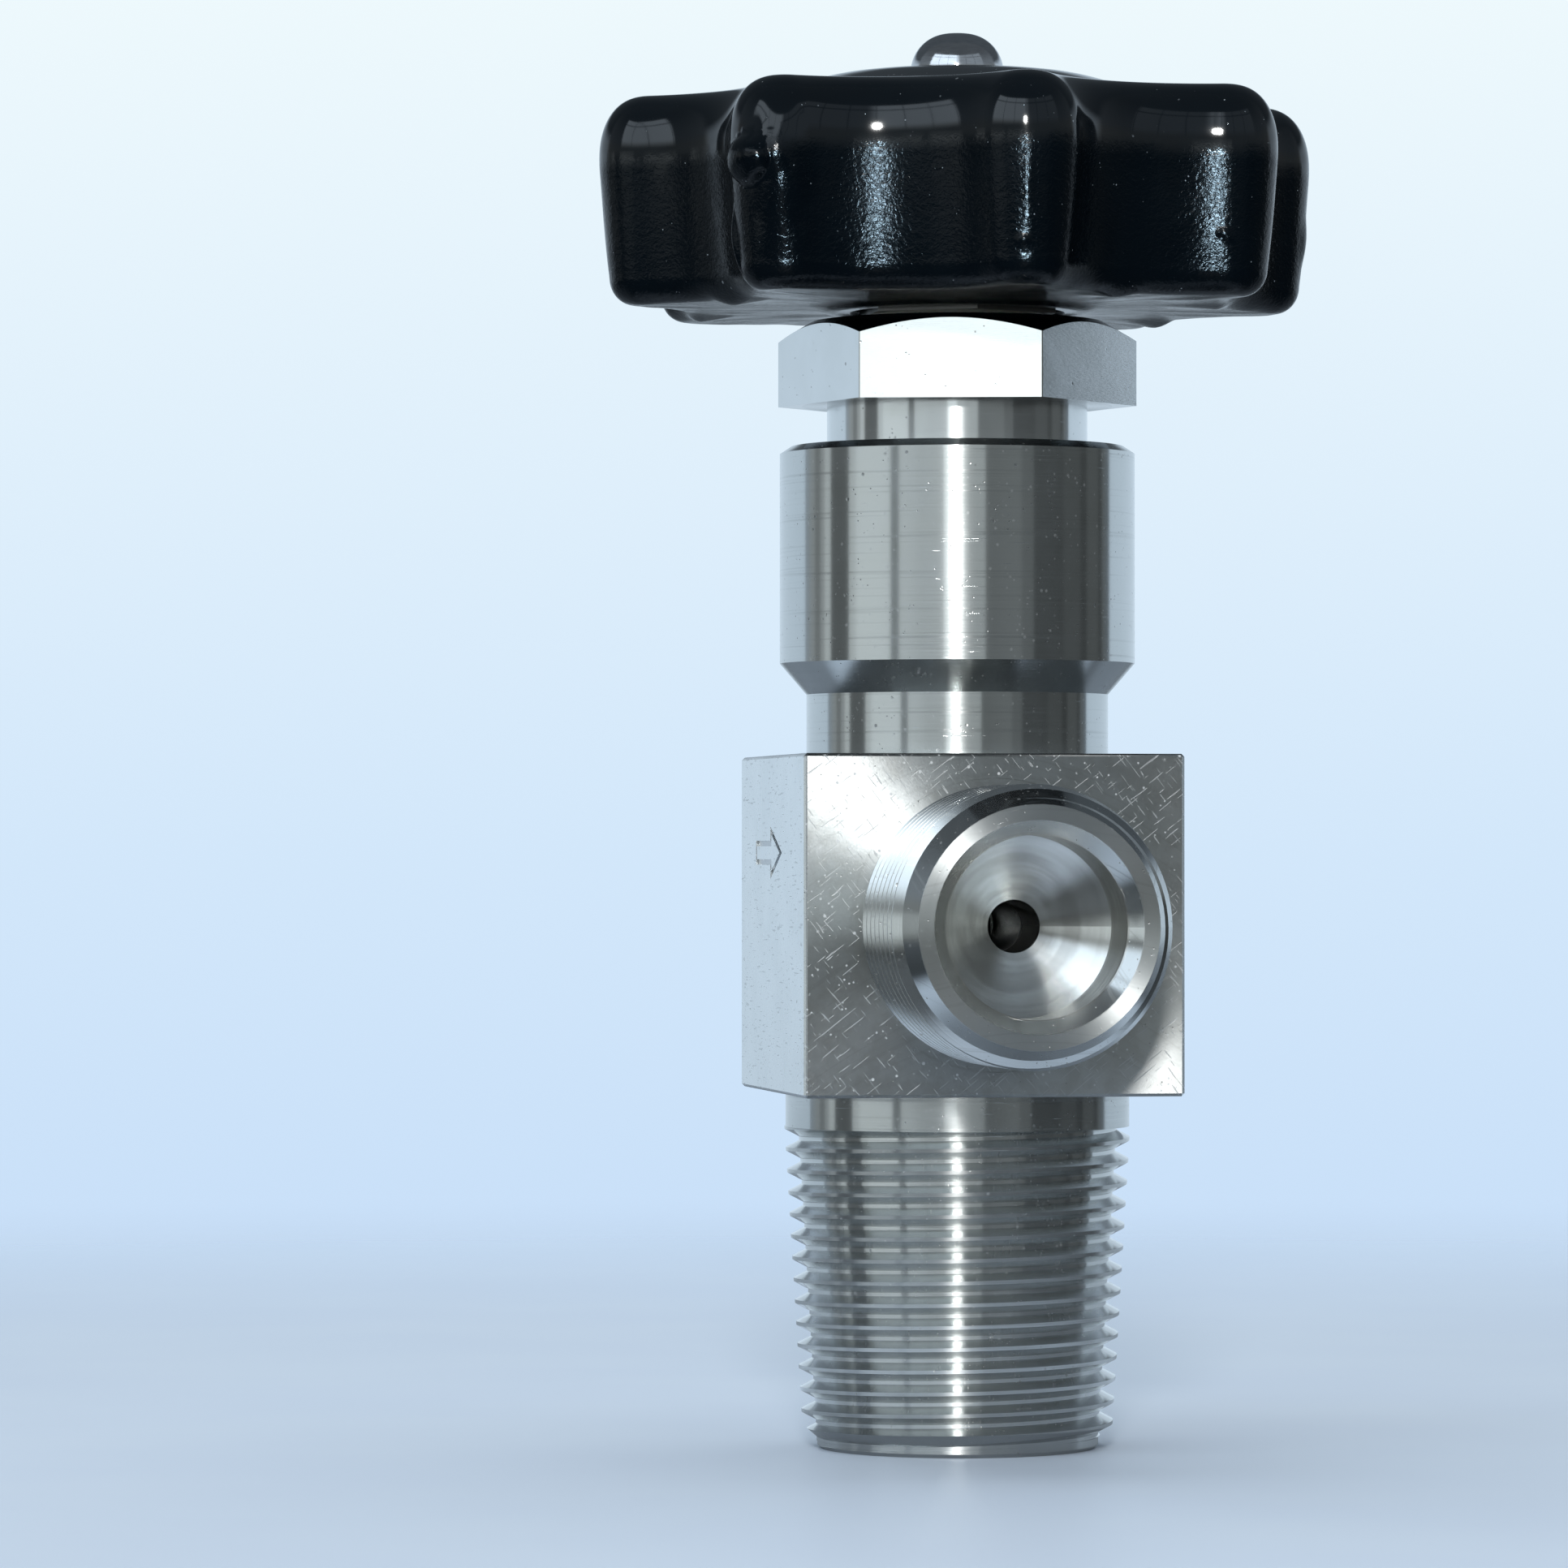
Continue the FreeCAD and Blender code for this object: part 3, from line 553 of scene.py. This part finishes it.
def side_rows():
    """The drafted side and the top rounding."""
    rows = []
    side_low = BOTTOM_Z - BOTTOM_ROUND * math.sin(SIDE_LEAN)
    for i in range(1, SIDE_STEPS):
        height = side_low + (TOP_START - side_low) * i / SIDE_STEPS
        rows.append(("inset", (WHEEL_HIGH - height) * DRAFT, height))
    start_inset = (WHEEL_HIGH - TOP_START) * DRAFT
    for i in range(TOP_STEPS + 1):
        angle = math.pi / 2 * i / TOP_STEPS
        out = math.cos(angle) ** TOP_ROUND_POWER if i < TOP_STEPS else 0.0
        up = math.sin(angle) ** TOP_ROUND_POWER
        inset = start_inset * (1 - up) + TOP_ROUND * (1 - out)
        rows.append(("inset", inset, TOP_START + TOP_ROUND_HEIGHT * up))
    return rows


def crown_rows():
    """The top's crown and the rounded edge of the nut's well."""
    rows = [("between_high", share, WHEEL_HIGH) for share in (0.35, 0.7)]
    crown_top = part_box("handwheel_coating")[1].z / MM
    for i in range(CROWN_STEPS + 1):
        share = i / CROWN_STEPS
        radius = CROWN_R + (CROWN_FLAT_R - CROWN_R) * share
        rise = share * share * (3 - 2 * share)
        rows.append(("circle", radius, WHEEL_HIGH + (crown_top - WHEEL_HIGH) * rise))
    for i in range(WELL_STEPS + 1):
        angle = math.pi / 2 * i / WELL_STEPS
        radius = WELL_R + WELL_ROUND * (1 - math.sin(angle))
        rows.append(("circle", radius, crown_top - WELL_ROUND * (1 - math.cos(angle))))
    rows.append(("circle", WELL_R + 0.02, crown_top - WELL_DEPTH))
    return rows


def wheel_profile():
    """Rows of the coating as (kind, inset or radius or share, height), from the hub pad to the well."""
    return underside_rows() + side_rows() + crown_rows()


# Where the coating ran or pooled: (lobe, facing, height, half width, half height, thickness).
# Lobes count from the one above the outlet; `facing` is the way the skin faces there, in degrees.
RUNS = (
    (7, -123.0, 105.9, 2.7, 2.5, 0.40),
    (7, -106.0, 104.8, 3.0, 6.0, 0.60),
    (7, -105.0, 94.5, 3.2, 6.0, -0.30),
    (7, -179.0, 98.9, 0.60, 3.4, 0.45),
    (0, -99.0, 103.0, 0.42, 5.2, 0.10),
    (2, -20.0, 101.0, 1.3, 2.6, 0.20),
    (3, 47.0, 104.5, 1.6, 2.2, 0.35),
    (5, 139.0, 100.5, 1.2, 3.4, 0.18),
)

# Round beads standing on the side: (lobe, facing, height, radius, thickness).
BEADS = (
    (7, -141.0, 105.2, 2.05, 1.35),
    (0, -104.0, 98.4, 0.46, 0.20),
    (1, -100.5, 99.9, 0.34, 0.24),
    (1, -96.0, 99.5, 0.30, 0.22),
    (3, 60.0, 101.0, 0.60, 0.35),
)

# Drips under the wheel: (angle, radius, size, depth).
DRIPS = (
    (-156.0, 22.6, 3.0, 0.50),
    (-118.0, 17.8, 1.2, 0.45),
    (-77.0, 18.4, 1.2, 0.50),
    (-66.0, 22.2, 2.6, 0.30),
    (-44.0, 24.8, 2.4, 0.35),
    (-22.0, 21.0, 3.0, 0.30),
    (30.0, 23.0, 3.2, 0.45),
    (95.0, 20.0, 2.4, 0.50),
    (150.0, 23.5, 2.8, 0.35),
)


def dome(distance):
    """Smooth bump: 1 in the middle and 0 from a distance of 1."""
    return (1 - distance * distance) ** 2 if distance < 1 else 0.0


def on_lobe(lobe, facing, height):
    """Point of the drafted side on a lobe where the skin faces a given way."""
    lobe_angle = math.radians(360 / LOBES * lobe + WHEEL_TURN - 90)
    inset = (WHEEL_HIGH - height) * DRAFT
    return polar(LOBE_CENTRE_R, lobe_angle) + polar(LOBE_R - inset, math.radians(facing))


def ran(point, height):
    """How far the coating stands out at a point on the wheel's side."""
    out = 0.0
    for lobe, facing, middle, wide, tall, thick in RUNS:
        aside = (point - on_lobe(lobe, facing, height)).length
        out += thick * dome(math.hypot(aside / wide, (height - middle) / tall))
    for lobe, facing, middle, radius, thick in BEADS:
        aside = (point - on_lobe(lobe, facing, middle)).length
        away = math.hypot(aside, height - middle) / radius
        out += thick * math.sqrt(1 - away * away) if away < 1 else 0.0
    swell = noise.noise(Vector((point.x, point.y, height)) / 7.0)
    drawn_in = max(0.0, SIDE_BEND_Z - height) ** 2 * SIDE_BEND
    return out + 0.03 * swell - drawn_in


def dripped(point):
    """How far the coating hangs below the wheel's flat underside."""
    down = 0.0
    for angle, radius, size, depth in DRIPS:
        centre = polar(radius, math.radians(angle))
        down += depth * dome((point - centre).length / size)
    lumps = noise.noise(Vector((point.x, point.y, 4.0)) / 3.1)
    return down + 0.16 * max(0.0, lumps)


def row_place(kind, value, height, point, normal):
    """Where one row of the profile meets one column of the outline, before runs and drips."""
    if kind == "inset":
        return point - normal * value
    rim = point - normal * (BOTTOM_INSET if height < WHEEL_LOW + 0.01 else TOP_ROUND)
    if kind == "circle":
        return rim.normalized() * value
    if kind == "between_low":
        pad = PAD_R + PAD_ROUND
        return rim.normalized() * (pad + (rim.length - pad) * value)
    return rim.normalized() * (rim.length + (CROWN_R - rim.length) * value)


def skin_vertex(kind, value, height, point, normal):
    place = row_place(kind, value, height, point, normal)
    z = height
    if kind == "inset":
        share = min(1.0, max(0.0, (height - WHEEL_LOW) / (WHEEL_HIGH - WHEEL_LOW)))
        place = place + normal * ran(place, height) * min(1.0, 2.5 * math.sin(math.pi * share))
    if place.length > PAD_R + 0.5 and height < WHEEL_LOW + BOTTOM_ROUND:
        hang = 1 - (height - WHEEL_LOW) / BOTTOM_ROUND
        z -= dripped(place) * max(0.0, min(1.0, hang))
    return place.x * MM, place.y * MM, z * MM


def wheel_mesh():
    columns = wheel_columns()
    rows = wheel_profile()
    count = len(columns)
    vertices = []
    for kind, value, height in rows:
        vertices += [skin_vertex(kind, value, height, point, normal) for point, normal in columns]
    faces = []
    for row in range(len(rows) - 1):
        low = row * count
        high = low + count
        for k in range(count):
            after = (k + 1) % count
            faces.append((low + k, low + after, high + after, high + k))
    mesh = bpy.data.meshes.new("handwheel_skin")
    mesh.from_pydata(vertices, [], faces)
    mesh.update()
    return mesh


def handwheel_skin():
    skin = bpy.data.objects.new("handwheel_skin", wheel_mesh())
    bpy.context.scene.collection.objects.link(skin)
    for polygon in skin.data.polygons:
        polygon.use_smooth = True
    shell = skin.modifiers.new("thickness", "SOLIDIFY")
    shell.thickness = SKIN * MM
    shell.offset = -1.0
    skin.data.materials.append(coating_material())
    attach(skin, "spindle")
    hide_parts("handwheel_coating")
    return skin


# ---------------------------------------------------------------------- carried-over CAD nodes

def dress(node, made):
    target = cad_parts[node]
    target.data.materials.clear()
    target.data.materials.append(made)


def dress_cad_nodes():
    dress("valve_body", body_material())
    dress("gland_nut", nut_material())
    dress("cap_nut", polished_material())
    dress("handwheel_core", cast_material())
    steel = turned_material("turned_stainless", (0.66, 0.65, 0.64), (0.58, 0.57, 0.55), 0.24)
    for node in ("stem", "needle_plug", "spring_seat_washer", "nut_washer"):
        dress(node, steel)
    bush = turned_material("bush_steel", (0.52, 0.51, 0.50), (0.40, 0.39, 0.37), 0.34, 0.5)
    dress("wheel_hub_bush", bush)
    wire = turned_material("spring_wire", (0.50, 0.49, 0.48), (0.36, 0.35, 0.34), 0.30, 0.2)
    dress("hub_spring", wire)
    copper = turned_material("soft_copper", (0.86, 0.50, 0.36), (0.66, 0.34, 0.22), 0.32, 0.4)
    dress("gland_seal_ring", copper)
    ptfe = plastic_material("ptfe", (0.88, 0.88, 0.86), (0.80, 0.80, 0.77), 0.42, 0.3)
    for node in ("stem_thrust_washer", "stem_packing_washer", "stem_backup_rings", "needle_backup_ring"):
        dress(node, ptfe)
    pctfe = plastic_material("pctfe", (0.83, 0.82, 0.76), (0.74, 0.73, 0.66), 0.35, 0.2)
    dress("seat_ring", pctfe)
    nylon = plastic_material("nylon", (0.80, 0.77, 0.68), (0.70, 0.67, 0.58), 0.45, 0.1)
    dress("wheel_slip_washer", nylon)
    rubber = rubber_material()
    for node in ("stem_o_rings", "needle_o_ring"):
        dress(node, rubber)


# ---------------------------------------------------------------------- studio

# Brightness round the studio at eye level: (degrees to the right of the camera, light level). Each
# level holds up to the next angle, so dark strips stand for window posts and furniture.
WALL = (
    (-180, 0.78), (-118, 0.34), (-106, 0.22), (-101, 0.40), (-97, 0.66), (-90, 0.12), (-75, 0.70),
    (-69, 0.86), (-44, 0.22), (-39, 0.76), (-21, 0.79), (-8.5, 1.50), (-0.5, 0.84), (7, 0.72),
    (18, 0.20), (42, 0.14), (50, 0.045), (72, 0.07), (86, 0.04), (92, 0.09), (104, 0.05),
    (108, 0.12), (116.55, 0.78),
)
EYE_LEVEL = 1.1

# Windows in front, above eye level; angles in degrees.
WINDOW = 1.45
WINDOW_FOOT = 10.0
WINDOW_HEAD = 44.0
WINDOW_REACH = 74.0
WINDOW_SPACING = 24.0
TRANSOM = 36.0
BAR_SHADE = 0.65
CEILING = 0.10

# Paper behind the valve, out of the camera's sight: it starts BEHIND degrees away from the camera.
BEHIND = 106.0
PAPER = 0.74
PAPER_HEAD = 12.0
PAPER_SHADE = 0.24

# Below the horizon in front the studio is dark, with a fade that widens towards the sides.
UNDERFOOT = 0.03
SHADE_EDGE = 0.6
SHADE_FADE = 2.6

WALL_TINT = (0.91, 1.0, 1.02, 1)
WINDOW_TINT = (0.86, 1.0, 1.13, 1)
PAPER_TINT = (0.74, 0.89, 1.03, 1)

# Background behind the valve, as the camera sees it, below, at and above the horizon.
BACKDROP = ((0.50, 0.67, 0.92, 1), (0.65, 0.80, 0.96, 1), (0.86, 0.95, 0.98, 1))

# Floor, in metres from the stem axis: where its mirror image is pale instead of painted dark, and where
# it fades out.
PALE_RING = (0.03, 0.06, 0.065, 0.095)
FLOOR_FADE = (0.10, 0.44)
FLOOR_HALF = 0.45
FLOOR_GAP = 0.00002


def wall_level(g, turned):
    """Light level at eye level for each direction round the studio."""
    ramp = g.add("ShaderNodeValToRGB", {0: g.range(turned, -180, 180, smooth=False)})
    ramp.color_ramp.interpolation = "CONSTANT"
    stops = ramp.color_ramp.elements
    while len(stops) < len(WALL):
        stops.new(0.5)
    for stop, (angle, level) in zip(stops, WALL):
        stop.position = (angle + 180) / 360
        stop.color = (level, level, level, 1)
    return g.math("MULTIPLY", ramp.outputs[0], EYE_LEVEL)


def above_eye_level(g, turned, aside, elevation, tall):
    """Light level of the windows and the ceiling between them."""
    bar = g.math("FRACT", g.math("MULTIPLY", turned, 1 / WINDOW_SPACING))
    bar = g.range(g.math("ABSOLUTE", g.math("SUBTRACT", bar, 0.5)), 0.475, 0.485)
    transom = g.range(g.math("ABSOLUTE", g.math("SUBTRACT", elevation, TRANSOM)), 0.9, 0.6)
    bars = g.math("MAXIMUM", bar, transom)
    glass = g.math("MULTIPLY_ADD", bars, -BAR_SHADE * WINDOW, WINDOW)
    glass = g.math("MULTIPLY", glass, g.range(turned, -3, 9, 1.0, 0.22))
    window = g.math("MULTIPLY", tall, g.range(elevation, WINDOW_HEAD, WINDOW_HEAD - 1.5))
    window = g.math("MULTIPLY", window, g.range(aside, WINDOW_REACH, WINDOW_REACH - 1.5))
    return g.mix(window, g.range(elevation, 8, 50, 0.22, CEILING), glass)


def backdrop(g, elevation):
    """Pale background that the camera sees."""
    ramp = g.add("ShaderNodeValToRGB", {0: g.range(elevation, -7, 7, smooth=False)})
    stops = ramp.color_ramp.elements
    stops[0].color, middle, stops[1].color = BACKDROP
    stops.new(0.5).color = middle
    return ramp.outputs[0]


def studio_world():
    """Soft studio: tall windows in front, pale paper behind, a dark ceiling and a dark floor beyond."""
    world = bpy.data.worlds.new("studio")
    bpy.context.scene.world = world
    world.use_nodes = True
    g = Graph(world.node_tree)
    x, y, z = g.split(g.add("ShaderNodeTexCoord").outputs["Generated"])
    towards_camera = math.radians(CAMERA_AZIMUTH - 90)
    turned = g.math("SUBTRACT", g.math("ARCTAN2", y, x), towards_camera)
    turned = g.math("WRAP", turned, math.pi, -math.pi)
    turned = g.math("MULTIPLY", turned, math.degrees(1))
    elevation = g.math("MULTIPLY", g.math("ARCSINE", z), math.degrees(1))
    aside = g.math("ABSOLUTE", turned)
    behind = g.range(aside, BEHIND, BEHIND + 12)
    tall = g.range(elevation, WINDOW_FOOT, WINDOW_FOOT + 8)

    upper = above_eye_level(g, turned, aside, elevation, tall)
    paper = g.range(elevation, PAPER_HEAD, PAPER_HEAD + 9, PAPER, CEILING)
    upper = g.mix(behind, upper, paper)
    level = g.mix(g.range(elevation, 5, 9), wall_level(g, turned), upper)
    shade = g.mix(behind, UNDERFOOT, PAPER_SHADE)
    fade_end = g.range(aside, 12, 50, SHADE_EDGE - SHADE_FADE, SHADE_EDGE - 5 * SHADE_FADE)
    level = g.mix(g.range(elevation, SHADE_EDGE, fade_end), level, shade)

    tint = g.mix_colour(behind, g.mix_colour(tall, WALL_TINT, WINDOW_TINT), PAPER_TINT)
    room = g.mix_colour(1.0, tint, level, "MULTIPLY")
    seen = g.add("ShaderNodeLightPath").outputs["Is Camera Ray"]
    colour = g.mix_colour(seen, room, backdrop(g, elevation))
    background = g.add("ShaderNodeBackground", {"Color": colour, "Strength": 1.0})
    g.add("ShaderNodeOutputWorld", {"Surface": background.outputs[0]})


def paper_material():
    """Pale paper that is pale in mirror images only near the valve and behind it, and fades out;
    elsewhere its mirror images and bounce light get a painted dark tone.
    """
    made, g = material("pale_paper")
    point = g.object_point()
    x, y = g.split(point)[:2]
    radius = g.hypot(x, y)
    fibre = g.noise(point, 1.0 / (0.8 * MM), 3.0, 0.6)
    mottle = g.noise(point, 1.0 / (40.0 * MM), 2.0, 0.5)
    paper = g.mix_colour(g.range(mottle, 0.3, 0.7), (0.74, 0.83, 0.97, 1), (0.76, 0.85, 0.98, 1))
    inner, full, full_end, outer = PALE_RING
    near = g.math("MULTIPLY", g.range(radius, outer, full_end), g.range(radius, inner, full, 0.35, 1.0))
    near = g.math("MAXIMUM", near, g.range(y, 0.0, 0.06, 0.0, 0.35))
    # Painted reflection: away from the valve the floor is dark in mirror images and bounce light,
    # standing in for shade.
    reflected_tone_painted = g.mix_colour(near, (0.05, 0.055, 0.06, 1), paper)
    seen = g.add("ShaderNodeLightPath").outputs["Is Camera Ray"]
    shader = g.add("ShaderNodeBsdfPrincipled", {
        "Base Color": g.mix_colour(seen, reflected_tone_painted, paper), "Roughness": 0.45,
        "Specular IOR Level": 0.3, "Normal": g.bump(fibre, 0.01 * MM, 0.4),
    })
    clear = g.add("ShaderNodeBsdfTransparent")
    faded = g.range(radius, *FLOOR_FADE)
    mixed = g.add("ShaderNodeMixShader", {0: faded, 1: shader.outputs[0], 2: clear.outputs[0]})
    g.add("ShaderNodeOutputMaterial", {"Surface": mixed.outputs[0]})
    return made


def floor():
    half = FLOOR_HALF
    mesh = bpy.data.meshes.new("floor")
    corners = [(-half, -half, 0), (half, -half, 0), (half, half, 0), (-half, half, 0)]
    mesh.from_pydata(corners, [], [(0, 1, 2, 3)])
    mesh.materials.append(paper_material())
    ground = bpy.data.objects.new("floor", mesh)
    ground.location.z = CAD_BOX[0].z - FLOOR_GAP
    bpy.context.scene.collection.objects.link(ground)


def around(angle, distance, height):
    """Point at `angle` degrees to the right of the camera, in metres."""
    turned = math.radians(CAMERA_AZIMUTH - 90 + angle)
    return Vector((distance * math.cos(turned), distance * math.sin(turned), height))


def area_light(name, place, aim, size, radiance, colour, shape="ELLIPSE"):
    """Lamp of a given radiance, as wide as it is high."""
    light = bpy.data.lights.new(name, "AREA")
    light.shape = shape
    light.size = size
    light.size_y = size
    area = size * size * (math.pi / 4 if shape == "ELLIPSE" else 1.0)
    light.energy = radiance * math.pi * area
    light.color = colour
    lamp = bpy.data.objects.new(name, light)
    lamp.location = place
    lamp.rotation_euler = (aim - place).to_track_quat("-Z", "Y").to_euler()
    lamp.visible_camera = False
    bpy.context.scene.collection.objects.link(lamp)
    return lamp


def lights(skin):
    """A small strong lamp above the camera, a low one for the coating alone, and a soft one overhead."""
    middle = Vector((0, 0, 0.07))
    area_light("key", around(-0.6, 0.95, 0.38), middle, 0.112, 130.0, (1.0, 1.0, 0.98))
    low = area_light("low_front", around(-0.6, 0.95, 0.045), middle, 0.122, 172.0, (0.58, 0.82, 1.0))
    only_coating = bpy.data.collections.new("lit_by_low_front")
    only_coating.objects.link(skin)
    low.light_linking.receiver_collection = only_coating
    overhead = Vector((0.0, 0.15, 0.75))
    soft = area_light("top_soft", overhead, middle, 0.70, 2.3, (0.90, 0.97, 1.0), "RECTANGLE")
    soft.visible_glossy = False


def camera():
    data = bpy.data.cameras.new("camera")
    data.lens = CAMERA_LENS
    data.sensor_width = 36.0
    data.clip_start = 0.01
    data.clip_end = 20.0
    eye = bpy.data.objects.new("camera", data)
    azimuth = math.radians(CAMERA_AZIMUTH)
    right = Vector((math.cos(azimuth), math.sin(azimuth), 0))
    place = Vector((math.sin(azimuth), -math.cos(azimuth), 0)) * CAMERA_DISTANCE
    place.z = CAMERA_HEIGHT
    aim = right * -AIM_LEFT + Vector((0, 0, AIM_HEIGHT))
    eye.location = place * MM
    eye.rotation_euler = (aim - place).to_track_quat("-Z", "Y").to_euler()
    bpy.context.scene.collection.objects.link(eye)
    bpy.context.scene.camera = eye


def view_settings():
    settings = bpy.context.scene.view_settings
    settings.view_transform = "Standard"
    settings.look = "None"


camera()
dress_cad_nodes()
skin = handwheel_skin()
studio_world()
floor()
lights(skin)
view_settings()
